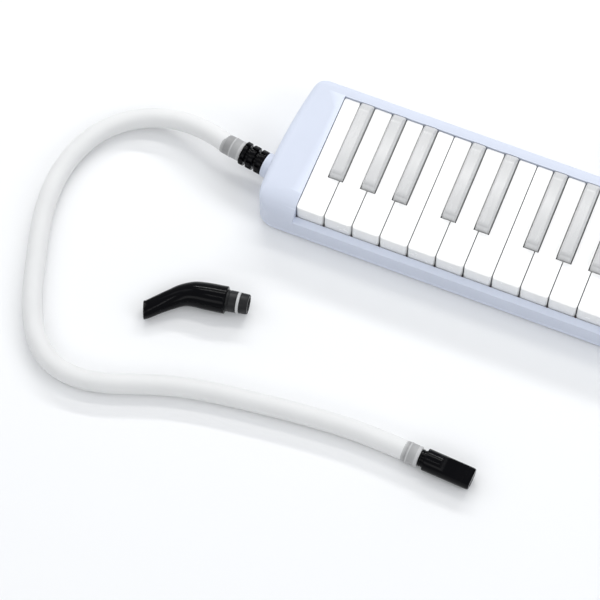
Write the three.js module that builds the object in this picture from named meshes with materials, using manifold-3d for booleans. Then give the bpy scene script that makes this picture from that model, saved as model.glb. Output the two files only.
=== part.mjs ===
// A 32-key melodica with its blowing hose, beak mouthpiece and loose short mouthpiece.
// Millimetres. +X runs along the keyboard towards the high notes, +Y to the back, +Z up.
// The origin is the bottom centre of the case, on the surface that the melodica lies on.
import * as THREE from 'three';
import { mergeVertices } from 'three/addons/utils/BufferGeometryUtils.js';
import Module from 'manifold-3d';

const wasm = await Module();
wasm.setup();

// ---------------------------------------------------------------- driving dimensions
const GAP = 0.3; // clearance between pieces that touch in life
const FAR = 300; // beyond the case on every side, for cuts that go right through

const KEY_PITCH = 19.5;
const WHITE_COUNT = 19;
const KEY_SPLIT = 0.6; // slot between two white keys
const KEY_FRONT_Y = -45.5;
const KEY_BACK_Y = 42.5;
const WHITE_TOP_Z = 33;
const KEY_BLOCK_Z = 26; // underside of the key blocks
const SHARP_RISE = 6; // sharps stand this far above the white keys
const SHARP_WIDTH = 9.4;
const SHARP_LENGTH = 58.5;
const SHARP_BACK_DROP = 4.6; // a sharp slopes down by this much to the rail
const SHARP_BACK_SLOPE = 8; // over this length
const NOTCH_SIDE_GAP = 0.7; // between a sharp and the sides of the notch that it sits in
const NOTCH_FRONT_GAP = 1; // and its front, which comes forward as the sharp goes down
const KEYBOARD_HALF = (WHITE_COUNT * KEY_PITCH) / 2;

const PIVOT_Y = 16;
const PIVOT_Z = 22.5;
const AXLE_R = 1.2;
const PAD_Y = 34; // centre of the pallet pads
const PAD_Z = 18.5; // their underside

const CASE_FRONT = -51.5;
const CASE_BACK = 51.5;
const CASE_END_X = 213.5; // furthest point of each bowed end
const BOW_Y = -20; // where the end bows out furthest
const BOW_RADIUS = 370;
const CASE_TOP_Z = 34.5;
const LIP_TOP_Z = 20.6;
const SEAM_Z = 6.5;
const WALL = 2.5;
const EDGE_ROUND = 5;
const WELL_HALF = KEYBOARD_HALF + 0.5;

// The neck slants towards the back. It is built along X, then turned about this place on its axis.
const NECK_PIVOT = { x: -227.5, y: -14.6 };
const NECK_SLANT = 8.5; // degrees
const NECK_Z = 17;
const NECK_R = 8.5;
const NECK_BORE_R = 6;

const HOSE_R = 6.7;
const BARB_R = 4.7;
const BARB_LENGTH = 15;
const AIR_BORE_R = 2.75; // bore through the hose fittings

// ---------------------------------------------------------------- materials
function plastic(color, roughness) {
  return new THREE.MeshStandardMaterial({ color, roughness, metalness: 0 });
}
const caseBlue = plastic(0xdde4f2, 0.4);
const ivory = plastic(0xfafafa, 0.25);
const sharpGrey = plastic(0xdedede, 0.3);
const glossBlack = plastic(0x100f14, 0.2);
const mattBlack = plastic(0x1c1c20, 0.55);
const hoseWhite = plastic(0xe9e9e7, 0.45);
const felt = plastic(0xb03a2e, 0.95);
const rubber = plastic(0x2a2a2a, 0.8);
const innerGrey = plastic(0xc9ccd0, 0.5);
const ringWhite = plastic(0xe6e6e6, 0.5);
const brass = new THREE.MeshStandardMaterial({ color: 0xc9a24a, roughness: 0.35, metalness: 1 });
const steel = new THREE.MeshStandardMaterial({ color: 0xb8babd, roughness: 0.3, metalness: 1 });

// ---------------------------------------------------------------- solids and booleans
function solid(geometry) {
  const bare = geometry.clone();
  bare.deleteAttribute('normal');
  if (bare.attributes.uv) bare.deleteAttribute('uv');
  const merged = mergeVertices(bare, 1e-4);
  return new wasm.Manifold(new wasm.Mesh({
    numProp: 3,
    vertProperties: new Float32Array(merged.attributes.position.array),
    triVerts: new Uint32Array(merged.index.array),
  }));
}

function toGeometry(manifold) {
  const mesh = manifold.getMesh();
  const geometry = new THREE.BufferGeometry();
  geometry.setAttribute('position', new THREE.BufferAttribute(new Float32Array(mesh.vertProperties), 3));
  geometry.setIndex(new THREE.BufferAttribute(new Uint32Array(mesh.triVerts), 1));
  return geometry;
}

function box(x0, x1, y0, y1, z0, z1) {
  const geometry = new THREE.BoxGeometry(x1 - x0, y1 - y0, z1 - z0);
  geometry.translate((x0 + x1) / 2, (y0 + y1) / 2, (z0 + z1) / 2);
  return solid(geometry);
}

// Everything between two heights.
function slab(z0, z1) {
  return box(-FAR, FAR, -FAR, FAR, z0, z1);
}

// A shape drawn in X and Y, raised from z0 to z1.
function prismZ(shape, z0, z1, curveSegments = 4) {
  const geometry = new THREE.ExtrudeGeometry(shape, { depth: z1 - z0, bevelEnabled: false, curveSegments });
  geometry.translate(0, 0, z0);
  return solid(geometry);
}

// A shape drawn in Y and Z, drawn out from x0 to x1.
function prismX(shape, x0, x1, curveSegments = 5) {
  const geometry = new THREE.ExtrudeGeometry(shape, { depth: x1 - x0, bevelEnabled: false, curveSegments });
  const axes = new THREE.Matrix4().makeBasis(
    new THREE.Vector3(0, 1, 0), new THREE.Vector3(0, 0, 1), new THREE.Vector3(1, 0, 0));
  geometry.applyMatrix4(axes);
  geometry.translate(x0, 0, 0);
  return solid(geometry);
}

function polygon(points) {
  return new THREE.Shape(points.map(([u, v]) => new THREE.Vector2(u, v)));
}

// A turned piece: [radius, distance along the axis] points, from the axis back to the axis
// or closed on itself. The axis is +Z here and is turned afterwards.
function turned(points, sides) {
  const profile = points.map(([r, h]) => new THREE.Vector2(r, h));
  const geometry = new THREE.LatheGeometry(profile, sides);
  geometry.rotateX(Math.PI / 2);
  return solid(geometry);
}

function turnedTube(outer, bore, sides) {
  const [first, last] = [outer[0], outer[outer.length - 1]];
  return turned([...outer, [bore, last[1]], [bore, first[1]], first], sides);
}

function cylinderZ(x, y, z0, z1, radius, sides) {
  return turned([[0, z0], [radius, z0], [radius, z1], [0, z1]], sides).translate([x, y, 0]);
}

function cylinderX(x0, x1, y, z, radius, sides) {
  return turned([[0, x0], [radius, x0], [radius, x1], [0, x1]], sides)
    .rotate([0, 90, 0]).translate([0, y, z]);
}

// A round or oval skin through stations {at: [x, y, z], width, height}: a cylinder whose
// rings are moved onto the stations, each square to the path and level across. A station
// with a heading, in degrees from +X, faces that way instead.
function loft(stations, sides) {
  const geometry = new THREE.CylinderGeometry(1, 1, 1, sides, stations.length - 1);
  const centres = stations.map((s) => new THREE.Vector3(...s.at));
  const position = geometry.attributes.position;
  for (let i = 0; i < position.count; i += 1) {
    const ring = Math.round((position.getY(i) + 0.5) * (stations.length - 1));
    const before = centres[Math.max(ring - 1, 0)];
    const after = centres[Math.min(ring + 1, stations.length - 1)];
    const { width, height, heading } = stations[ring];
    const turn = THREE.MathUtils.degToRad(heading ?? 0);
    const along = heading === undefined
      ? after.clone().sub(before).normalize()
      : new THREE.Vector3(Math.cos(turn), Math.sin(turn), 0);
    const across = along.clone().cross(new THREE.Vector3(0, 0, 1)).normalize();
    const over = across.clone().cross(along);
    const point = centres[ring].clone()
      .addScaledVector(across, (position.getX(i) * width) / 2)
      .addScaledVector(over, (position.getZ(i) * height) / 2);
    position.setXYZ(i, point.x, point.y, point.z);
  }
  return solid(geometry);
}

// ---------------------------------------------------------------- the assembly
const melodica = new THREE.Group();

function place(name, manifold, material) {
  const mesh = new THREE.Mesh(toGeometry(manifold), material);
  mesh.name = name;
  melodica.add(mesh);
}

// ---------------------------------------------------------------- keyboard layout
// White keys F G A B C D E ..., so the sharps come after all but B and E.
const OCTAVE = ['F', 'G', 'A', 'B', 'C', 'D', 'E'];
const SHARP_SHIFT = { F: -3, G: 0.2, A: 3, C: -1.8, D: 1.8 }; // from the slot between the white keys

const sharps = [];
for (let i = 0; i < WHITE_COUNT - 1; i += 1) {
  const shift = SHARP_SHIFT[OCTAVE[i % 7]];
  if (shift !== undefined) sharps.push({ after: i, x: (i + 1) * KEY_PITCH - KEYBOARD_HALF + shift });
}
// Slots without a sharp leave room for the posts that carry the axle.
const postsX = [-KEYBOARD_HALF + 1.05, KEYBOARD_HALF - 1.05];
for (let i = 0; i < WHITE_COUNT - 1; i += 1) {
  if (SHARP_SHIFT[OCTAVE[i % 7]] === undefined) postsX.push((i + 1) * KEY_PITCH - KEYBOARD_HALF);
}

const SHARP_FRONT_Y = KEY_BACK_Y - SHARP_LENGTH;

// Plan of a white key, with its front corners rounded and its notches cut for the sharps.
function whitePlan(index) {
  const left = index * KEY_PITCH - KEYBOARD_HALF + KEY_SPLIT / 2;
  const right = left + KEY_PITCH - KEY_SPLIT;
  const corner = 2.4;
  const notchFront = SHARP_FRONT_Y - NOTCH_FRONT_GAP;
  const half = SHARP_WIDTH / 2 + NOTCH_SIDE_GAP;
  const sharpLeft = sharps.find((s) => s.after === index - 1);
  const sharpRight = sharps.find((s) => s.after === index);
  const shape = new THREE.Shape();
  shape.moveTo(left + corner, KEY_FRONT_Y);
  shape.lineTo(right - corner, KEY_FRONT_Y);
  shape.quadraticCurveTo(right, KEY_FRONT_Y, right, KEY_FRONT_Y + corner);
  if (sharpRight) {
    shape.lineTo(right, notchFront);
    shape.lineTo(sharpRight.x - half, notchFront);
    shape.lineTo(sharpRight.x - half, KEY_BACK_Y);
  } else {
    shape.lineTo(right, KEY_BACK_Y);
  }
  if (sharpLeft) {
    shape.lineTo(sharpLeft.x + half, KEY_BACK_Y);
    shape.lineTo(sharpLeft.x + half, notchFront);
    shape.lineTo(left, notchFront);
  } else {
    shape.lineTo(left, KEY_BACK_Y);
  }
  shape.lineTo(left, KEY_FRONT_Y + corner);
  shape.quadraticCurveTo(left, KEY_FRONT_Y, left + corner, KEY_FRONT_Y);
  const backLeft = sharpLeft ? sharpLeft.x + half : left;
  const backRight = sharpRight ? sharpRight.x - half : right;
  return { shape, tailX: (backLeft + backRight) / 2 };
}

// The web under every key: a boss round the axle and an arm that ends in the pallet pad.
const BOSS_R = 3.4;
const WEB_HALF = 2.2;
function keyWeb(x) {
  const arm = polygon([
    [PIVOT_Y - 5, KEY_BLOCK_Z + 1], [PIVOT_Y - BOSS_R, PIVOT_Z], [PIVOT_Y - 2, PIVOT_Z - 2.7],
    [PIVOT_Y + 2, PIVOT_Z - 2.7], [PIVOT_Y + BOSS_R, PIVOT_Z], [PIVOT_Y + 5, KEY_BLOCK_Z - 1.5],
    [PAD_Y - 4.5, KEY_BLOCK_Z - 1.5], [PAD_Y - 4.5, PAD_Z], [PAD_Y + 4.5, PAD_Z],
    [PAD_Y + 4.5, KEY_BLOCK_Z + 1],
  ]);
  const web = prismX(arm, x - WEB_HALF, x + WEB_HALF);
  const hole = cylinderX(x - 2 * WEB_HALF, x + 2 * WEB_HALF, PIVOT_Y, PIVOT_Z, AXLE_R + 0.08, 10);
  return { web, hole };
}

const KEY_FRONT_BOTTOM_Z = 17.5;
const KEY_APRON = 2.6; // thickness of the wall down a key's front
const KEY_FRONT_ROUND = 2.6;
for (let i = 0; i < WHITE_COUNT; i += 1) {
  const { shape, tailX } = whitePlan(i);
  const full = prismZ(shape, KEY_FRONT_BOTTOM_Z, WHITE_TOP_Z);
  const x0 = i * KEY_PITCH - KEYBOARD_HALF;
  const under = box(x0 - 1, x0 + KEY_PITCH + 1, KEY_FRONT_Y + KEY_APRON, KEY_BACK_Y + 1, 0, KEY_BLOCK_Z);
  const frontEdge = new THREE.Shape();
  frontEdge.moveTo(KEY_FRONT_Y - 1, WHITE_TOP_Z - KEY_FRONT_ROUND);
  frontEdge.lineTo(KEY_FRONT_Y, WHITE_TOP_Z - KEY_FRONT_ROUND);
  frontEdge.quadraticCurveTo(KEY_FRONT_Y, WHITE_TOP_Z, KEY_FRONT_Y + KEY_FRONT_ROUND, WHITE_TOP_Z);
  frontEdge.lineTo(KEY_FRONT_Y + KEY_FRONT_ROUND, WHITE_TOP_Z + 1);
  frontEdge.lineTo(KEY_FRONT_Y - 1, WHITE_TOP_Z + 1);
  const { web, hole } = keyWeb(tailX);
  const key = full.subtract(under).subtract(prismX(frontEdge, x0 - 1, x0 + KEY_PITCH + 1, 3))
    .add(web).subtract(hole);
  place(`white_key_${String(i + 1).padStart(2, '0')}`, key, ivory);
}

// A sharp tapers to a narrower top, and slopes down at its front and its back.
sharps.forEach(({ x }, i) => {
  const top = WHITE_TOP_Z + SHARP_RISE;
  const half = SHARP_WIDTH / 2;
  const side = polygon([
    [SHARP_FRONT_Y, KEY_BLOCK_Z], [KEY_BACK_Y, KEY_BLOCK_Z], [KEY_BACK_Y, top - SHARP_BACK_DROP],
    [KEY_BACK_Y - SHARP_BACK_SLOPE / 2, top - SHARP_BACK_DROP / 3], [KEY_BACK_Y - SHARP_BACK_SLOPE, top],
    [SHARP_FRONT_Y + 4.5, top], [SHARP_FRONT_Y + 2.5, top - 0.8], [SHARP_FRONT_Y, WHITE_TOP_Z - 1],
  ]);
  const section = polygon([
    [-half, KEY_BLOCK_Z - 1], [half, KEY_BLOCK_Z - 1], [half, WHITE_TOP_Z], [half - 0.8, top - 0.9],
    [half - 1.5, top], [-half + 1.5, top], [-half + 0.8, top - 0.9], [-half, WHITE_TOP_Z],
  ]);
  const run = new THREE.ExtrudeGeometry(section, { depth: SHARP_LENGTH + 4, bevelEnabled: false });
  run.rotateX(Math.PI / 2); // section's v is now Z, and the run goes towards -Y
  run.translate(x, KEY_BACK_Y + 2, 0);
  const { web, hole } = keyWeb(x);
  const key = prismX(side, x - half - 1, x + half + 1).intersect(solid(run)).add(web).subtract(hole);
  place(`black_key_${String(i + 1).padStart(2, '0')}`, key, sharpGrey);
});

// ---------------------------------------------------------------- case
// Plan of the case, drawn in from its outside by `inset`: bowed ends and round corners.
function casePlan(inset) {
  const front = CASE_FRONT + inset;
  const back = CASE_BACK - inset;
  const frontCorner = 14 - inset;
  const backCorner = 8 - inset;
  const endX = (y) => CASE_END_X - inset - (y - BOW_Y) ** 2 / (2 * BOW_RADIUS);
  const steps = 6;
  const shape = new THREE.Shape();
  shape.moveTo(-endX(front) + frontCorner, front);
  shape.lineTo(endX(front) - frontCorner, front);
  shape.quadraticCurveTo(endX(front), front, endX(front + frontCorner), front + frontCorner);
  const low = front + frontCorner;
  const high = back - backCorner;
  for (let i = 1; i <= steps; i += 1) {
    const y = low + ((high - low) * i) / steps;
    shape.lineTo(endX(y), y);
  }
  shape.quadraticCurveTo(endX(back), back, endX(back) - backCorner, back);
  shape.lineTo(-endX(back) + backCorner, back);
  shape.quadraticCurveTo(-endX(back), back, -endX(high), high);
  for (let i = steps - 1; i >= 0; i -= 1) {
    const y = low + ((high - low) * i) / steps;
    shape.lineTo(-endX(y), y);
  }
  shape.quadraticCurveTo(-endX(front), front, -endX(front) + frontCorner, front);
  return shape;
}

// Side outline of the case: upright front, then a round shoulder up to the flat top.
function caseSide(inset) {
  const front = CASE_FRONT + inset;
  const top = CASE_TOP_Z - inset;
  const shape = new THREE.Shape();
  shape.moveTo(front, -1);
  shape.lineTo(CASE_BACK + 5, -1);
  shape.lineTo(CASE_BACK + 5, top);
  shape.lineTo(-33, top);
  shape.bezierCurveTo(-44, top, front, 28, front, 18.5);
  return shape;
}

const outerRound = new THREE.ExtrudeGeometry(casePlan(0), {
  depth: CASE_TOP_Z - 2 * EDGE_ROUND, bevelEnabled: true, bevelThickness: EDGE_ROUND,
  bevelSize: EDGE_ROUND, bevelOffset: -EDGE_ROUND, bevelSegments: 3, curveSegments: 4,
});
outerRound.translate(0, 0, EDGE_ROUND);
const caseOuter = solid(outerRound).intersect(prismX(caseSide(0), -CASE_END_X - 5, CASE_END_X + 5, 6));
const caseInner = prismZ(casePlan(WALL), WALL, CASE_TOP_Z - WALL);

const UNDER_LIP_Z = PAD_Z;
const cheekX = WELL_HALF + WALL;
const lowRoom = caseInner.intersect(slab(0, UNDER_LIP_Z));
const cheekRooms = caseInner.intersect(prismX(caseSide(WALL), -FAR, FAR, 6))
  .subtract(box(-cheekX, cheekX, -FAR, FAR, -1, FAR));
const WELL_GAP = 0.5; // round the keyboard
const well = box(-WELL_HALF, WELL_HALF, KEY_FRONT_Y - WELL_GAP, KEY_BACK_Y + WELL_GAP, SEAM_Z - 1, FAR);
const lipCut = box(-WELL_HALF, WELL_HALF, -FAR, KEY_BACK_Y, LIP_TOP_Z, FAR);

// Case screws: four through the cheeks, two under the back rail.
const screwPlaces = [[-199, -30], [-193, 46.2], [199, -30], [193, 46.2], [-64, 46.2], [64, 46.2]];
const SCREW_R = 1.5;
const bossTop = (x) => (Math.abs(x) < cheekX ? UNDER_LIP_Z : CASE_TOP_Z - WALL) + 0.5;

let upper = caseOuter.intersect(slab(SEAM_Z + GAP / 2, FAR))
  .subtract(lowRoom).subtract(cheekRooms).subtract(well).subtract(lipCut);
for (const [x, y] of screwPlaces) {
  const boss = cylinderZ(x, y, SEAM_Z + GAP / 2, bossTop(x), 3.4, 8);
  upper = upper.add(boss.intersect(caseOuter)).subtract(cylinderZ(x, y, 0, 14, SCREW_R + GAP, 8));
}
// The blowing neck comes out of the left end, and the valve button out of the right one.
function atNeck(manifold) {
  return manifold.translate([-NECK_PIVOT.x, 0, 0]).rotate([0, 0, -NECK_SLANT])
    .translate([NECK_PIVOT.x, NECK_PIVOT.y, NECK_Z]);
}
const VALVE_Y = -14.1;
const VALVE_Z = NECK_Z;
upper = upper.subtract(atNeck(cylinderX(-230, -207, 0, 0, NECK_R + GAP, 20)))
  .subtract(cylinderX(205, 230, VALVE_Y, VALVE_Z, 6.2, 16));
place('upper_case', upper, caseBlue);

let lower = caseOuter.intersect(slab(-1, SEAM_Z - GAP / 2))
  .subtract(caseInner);
const FLOOR = WALL - 0.2;
for (const x of postsX) {
  lower = lower.add(box(x - 1.2, x + 1.2, -9, PIVOT_Y + 3, FLOOR, 15.3))
    .add(box(x - 1.2, x + 1.2, PIVOT_Y - 2, PIVOT_Y + 2, FLOOR, PIVOT_Z - AXLE_R - GAP));
}
const FELT_Z = 11.8;
lower = lower.add(box(-180, 180, KEY_FRONT_Y - 1, KEY_FRONT_Y + 3, FLOOR, FELT_Z - GAP));
for (const [x, y] of screwPlaces) {
  lower = lower.add(cylinderZ(x, y, FLOOR, 4.6, 5, 10).intersect(caseOuter))
    .subtract(cylinderZ(x, y, -1, 10, SCREW_R + GAP, 8))
    .subtract(cylinderZ(x, y, -1, 2.4, 3.1, 10));
}
place('lower_case', lower, caseBlue);

screwPlaces.forEach(([x, y], i) => {
  const screw = turned([[0, 0.4], [2.8, 0.4], [2.8, 2.1], [SCREW_R, 2.1], [SCREW_R, 12], [0, 13]], 10);
  place(`case_screw_${i + 1}`, screw.translate([x, y, 0]), steel);
});

// ---------------------------------------------------------------- key action
place('key_axle', cylinderX(-KEYBOARD_HALF + 0.1, KEYBOARD_HALF - 0.1, PIVOT_Y, PIVOT_Z, AXLE_R, 10), steel);
place('key_felt', box(-180, 180, KEY_FRONT_Y - 1.5, KEY_FRONT_Y + 3.5, FELT_Z, FELT_Z + 1.2), felt);

// One comb of leaf springs, a finger under each key just in front of the axle.
const keyCentres = [
  ...Array.from({ length: WHITE_COUNT }, (_, i) => whitePlan(i).tailX),
  ...sharps.map((s) => s.x),
];
let comb = box(-KEYBOARD_HALF + 2, KEYBOARD_HALF - 2, -8, -4, 15.6, 16.3);
const finger = polygon([[-5, 15.8], [-4.2, 15.6], [9.4, 24.2], [9, 24.8]]);
for (const x of keyCentres) comb = comb.add(prismX(finger, x - 1.4, x + 1.4));
place('spring_comb', comb, steel);

// ---------------------------------------------------------------- air chamber and reeds
const CHAMBER = { x0: -191, x1: 191, y0: 23, y1: 42, z0: 5, rim: 15.2 };
const DUCT = { x0: -205, x1: -189.5, y0: -26, y1: 42, z1: 26.5 };
const THIN = 1.8; // walls of the air chamber, its duct and its pipe
// The room inside an outline with walls THIN thick, up to zTop.
function roomIn({ x0, x1, y0, y1 }, zTop) {
  return box(x0 + THIN, x1 - THIN, y0 + THIN, y1 - THIN, CHAMBER.z0 + THIN, zTop);
}
const openLeft = { ...CHAMBER, x0: CHAMBER.x0 - 5 };
const chamber = box(CHAMBER.x0, CHAMBER.x1, CHAMBER.y0, CHAMBER.y1, CHAMBER.z0, CHAMBER.rim)
  .subtract(roomIn(openLeft, FAR));
const duct = box(DUCT.x0, DUCT.x1, DUCT.y0, DUCT.y1, CHAMBER.z0, DUCT.z1)
  .subtract(roomIn(DUCT, DUCT.z1 - THIN))
  .subtract(box(-195, -185, CHAMBER.y0 + THIN, CHAMBER.y1 - THIN, CHAMBER.z0 + THIN, CHAMBER.rim))
  .subtract(atNeck(cylinderX(DUCT.x0 - 3, DUCT.x0 + 3, 0, 0, NECK_BORE_R, 16)));
// The valve pipe runs from the chamber's right end forward to the valve.
const PIPE = { x0: 189.5, x1: 203, y0: -22, y1: 30, z1: 24 };
const pipe = box(PIPE.x0, PIPE.x1, PIPE.y0, PIPE.y1, CHAMBER.z0, PIPE.z1)
  .subtract(roomIn(PIPE, PIPE.z1 - THIN))
  .subtract(box(185, 195, CHAMBER.y0 + THIN, PIPE.y1 - THIN, CHAMBER.z0 + THIN, CHAMBER.rim - THIN))
  .subtract(cylinderX(PIPE.x1 - 3, PIPE.x1 + 1, VALVE_Y, VALVE_Z, 2.2, 12));
const chamberOpen = chamber
  .subtract(box(185, 193, CHAMBER.y0 + THIN, PIPE.y1 - THIN, CHAMBER.z0 + THIN, CHAMBER.rim - THIN));
place('air_chamber', chamberOpen.add(duct).add(pipe), innerGrey);

const GASKET_Z = CHAMBER.rim + GAP;
const GASKET_THICK = 0.6;
const PLATE_Z = GASKET_Z + GASKET_THICK + GAP;
const plateX0 = DUCT.x1 + GAP;
const plateX1 = PIPE.x0 - GAP;
const gasket = box(plateX0, plateX1, CHAMBER.y0, CHAMBER.y1, GASKET_Z, GASKET_Z + GASKET_THICK)
  .subtract(box(plateX0 + THIN, plateX1 - THIN, CHAMBER.y0 + THIN, CHAMBER.y1 - THIN, 0, 40));
place('chamber_gasket', gasket, rubber);

let ports = box(plateX0, plateX1, CHAMBER.y0, CHAMBER.y1, PLATE_Z, PAD_Z - GAP);
for (const x of keyCentres) ports = ports.subtract(box(x - 1.3, x + 1.3, PAD_Y - 3.5, PAD_Y + 3.5, 0, 40));
place('port_plate', ports, innerGrey);

// Two brass plates, each with a slot and a tongue under every port on its half.
const REED_THICK = 1.1;
const REED_Z = PLATE_Z - GAP - REED_THICK;
function reedPlate(x0, x1) {
  let plate = box(x0, x1, CHAMBER.y0 + THIN + 0.6, CHAMBER.y1 - THIN - 0.6, REED_Z, REED_Z + REED_THICK);
  for (const x of keyCentres.filter((c) => c > x0 && c < x1)) {
    plate = plate.subtract(box(x - 1.2, x + 1.2, PAD_Y - 4, PAD_Y + 4, 0, 40))
      .add(box(x - 0.9, x + 0.9, PAD_Y - 6, PAD_Y + 3.6, REED_Z - 0.3, REED_Z + 0.1));
  }
  return plate;
}
place('reed_plate_low', reedPlate(plateX0 + 2.4, -5), brass);
place('reed_plate_high', reedPlate(-4.4, plateX1 - 2.4), brass);

// ---------------------------------------------------------------- spit valve
// A spring-loaded button in the right end. Pressed in, it lifts its seal off the pipe's hole.
// The seal closes the hole from inside the pipe.
const BUTTON_OUT_X = CASE_END_X + 2.2;
const SEAL_X1 = PIPE.x1 - THIN - GAP;
const STEM_R = 1.6;
const BUTTON_R = 5.8;
const BUTTON_BACK_X = 209;
const button = turned([
  [0, SEAL_X1 + GAP], [STEM_R, SEAL_X1 + GAP], [STEM_R, BUTTON_BACK_X], [BUTTON_R, BUTTON_BACK_X],
  [BUTTON_R, BUTTON_OUT_X - 1.2], [BUTTON_R - 1.2, BUTTON_OUT_X], [0, BUTTON_OUT_X],
], 16).rotate([0, 90, 0]).translate([0, VALVE_Y, VALVE_Z]);
place('valve_button', button, caseBlue);
place('valve_seal', cylinderX(SEAL_X1 - 1.8, SEAL_X1, VALVE_Y, VALVE_Z, 4.2, 12), rubber);
const springRings = [];
for (let i = 0; i < 4; i += 1) {
  springRings.push(turnedTube([[3.2, 203.6 + i * 1.3], [3.2, 204.3 + i * 1.3]], 2.5, 10));
}
const springSpine = box(-3.1, -2.6, -0.4, 0.4, 203.7, 208.2);
place('valve_spring', springRings.reduce((a, b) => a.add(b), springSpine)
  .rotate([0, 90, 0]).translate([0, VALVE_Y, VALVE_Z]), steel);

// ---------------------------------------------------------------- blowing neck
const NECK_END_X = -218.8;
const neck = turnedTube([
  [NECK_R, NECK_END_X], [NECK_R, -208.8], [NECK_R + 1.8, -208.8], [NECK_R + 1.8, -207.2],
  [NECK_R, -207.2], [NECK_R, DUCT.x0 + 3],
], NECK_BORE_R, 20).rotate([0, 90, 0]);
// The inner end is cut square to the case, next to the duct.
const besideDuct = box(-FAR, DUCT.x0 - GAP, -FAR, FAR, -FAR, FAR);
place('inlet_neck', atNeck(neck).intersect(besideDuct), caseBlue);

// ---------------------------------------------------------------- hose and its fittings
// The ribbed connector: a plug for the neck, three grip ribs, and a barb inside the hose.
const CONNECTOR = { x0: -235.8, x1: -219.1 };
const RIB_R = 8.2;
const RIB_CORE_R = 5.6;
const RIB_GAP = 2.2;
const RIB_WIDTHS = [4.8, 4.3, 3.2]; // from the neck towards the hose
const RIB_EDGE = 0.6;
const FLANGE_EDGE = 1.2; // the edge next to the neck is rounder
const PLUG_START_X = -211.6;
const connectorOutline = [
  [NECK_BORE_R - GAP - 0.4, PLUG_START_X], [NECK_BORE_R - GAP, CONNECTOR.x1 + 0.1],
];
let ribX1 = CONNECTOR.x1;
RIB_WIDTHS.forEach((width, i) => {
  const edge = i === 0 ? FLANGE_EDGE : RIB_EDGE;
  const ribX0 = ribX1 - width;
  connectorOutline.push([RIB_CORE_R, ribX1], [RIB_R - edge, ribX1], [RIB_R, ribX1 - edge]);
  connectorOutline.push([RIB_R, ribX0 + RIB_EDGE], [RIB_R - RIB_EDGE, ribX0], [RIB_CORE_R, ribX0]);
  ribX1 = ribX0 - RIB_GAP;
});
connectorOutline.push([BARB_R - 0.3, CONNECTOR.x0 - 0.1], [BARB_R - 0.3, -240], [BARB_R, -241.5]);
connectorOutline.push([BARB_R - 0.6, CONNECTOR.x0 - BARB_LENGTH]);
const connector = turnedTube(connectorOutline.reverse(), AIR_BORE_R, 16).rotate([0, 90, 0]);
place('hose_connector', atNeck(connector), glossBlack);

// Centreline of the hose: straight out of the connector, down to the table and round.
const HOSE_REST_Z = HOSE_R + 0.1;
const hoseRoute = [
  [-236, -13.3, NECK_Z], [-245.8, -11.9, NECK_Z], [-256, -9.2, 17.1],
  [-267, -6.6, 15.8], [-279.2, -5, 13.6], [-292.5, -5.4, 11], [-306, -8.8, 8.9],
  [-319.8, -16.1, 7.4], [-331.8, -27.8, HOSE_REST_Z], [-340.2, -43, HOSE_REST_Z],
  [-345, -60, HOSE_REST_Z], [-346.3, -79, HOSE_REST_Z], [-344, -99, HOSE_REST_Z],
  [-339.3, -117.6, HOSE_REST_Z], [-333.8, -135.2, HOSE_REST_Z], [-328, -152.8, HOSE_REST_Z],
  [-320.2, -170, HOSE_REST_Z], [-309.5, -185.8, HOSE_REST_Z], [-294.2, -196.8, HOSE_REST_Z],
  [-275.6, -199.8, HOSE_REST_Z], [-257.3, -196.8, HOSE_REST_Z], [-238.7, -190.2, HOSE_REST_Z],
  [-217.8, -183, HOSE_REST_Z], [-192.2, -177.2, HOSE_REST_Z], [-162.9, -173, HOSE_REST_Z],
  [-128, -169, HOSE_REST_Z], [-98, -167, HOSE_REST_Z], [-72, -167.3, HOSE_REST_Z],
  [-50.2, -168.5, HOSE_REST_Z],
];
const hosePoints = hoseRoute.map((p) => new THREE.Vector3(...p));
const hosePath = new THREE.CatmullRomCurve3(hosePoints, false, 'centripetal');
const HOSE_SIDES = 10;
const hoseSection = new THREE.Shape();
for (let i = 0; i < HOSE_SIDES; i += 1) {
  const angle = (i * 2 * Math.PI) / HOSE_SIDES;
  const [u, v] = [HOSE_R * Math.cos(angle), HOSE_R * Math.sin(angle)];
  if (i === 0) hoseSection.moveTo(u, v);
  else hoseSection.lineTo(u, v);
}
const hoseTube = solid(new THREE.ExtrudeGeometry(hoseSection, { steps: 44, extrudePath: hosePath }));

// Everything on the far end is built along +X from the hose's end, then turned with the hose.
const hoseEnd = hoseRoute[hoseRoute.length - 1];
const hoseBeforeEnd = hoseRoute[hoseRoute.length - 2];
const END_TURN = (Math.atan2(hoseEnd[1] - hoseBeforeEnd[1], hoseEnd[0] - hoseBeforeEnd[0]) * 180) / Math.PI;
function atHoseEnd(manifold) {
  return manifold.rotate([0, 0, END_TURN]).translate([hoseEnd[0], hoseEnd[1], hoseEnd[2]]);
}
const SOCKET_R = BARB_R + GAP;
const nearSocket = atNeck(cylinderX(CONNECTOR.x0 - BARB_LENGTH - 0.5, -230, 0, 0, SOCKET_R, 12));
const farSocket = atHoseEnd(cylinderX(-BARB_LENGTH - 0.5, 5, 0, 0, SOCKET_R, 12));
place('hose_tube', hoseTube.subtract(nearSocket).subtract(farSocket), hoseWhite);

const COLLAR_LENGTH = 3.6;
const endJoint = turnedTube([
  [BARB_R - 0.7, -BARB_LENGTH], [BARB_R, 6 - BARB_LENGTH], [BARB_R - 0.3, 7 - BARB_LENGTH],
  [BARB_R - 0.3, 0.3],
  [5.7, 0.3], [5.7, COLLAR_LENGTH], [4.6, COLLAR_LENGTH + 0.1], [4.4, COLLAR_LENGTH + 9],
], AIR_BORE_R, 16).rotate([0, 90, 0]);
place('hose_end_joint', atHoseEnd(endJoint), glossBlack);

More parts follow.
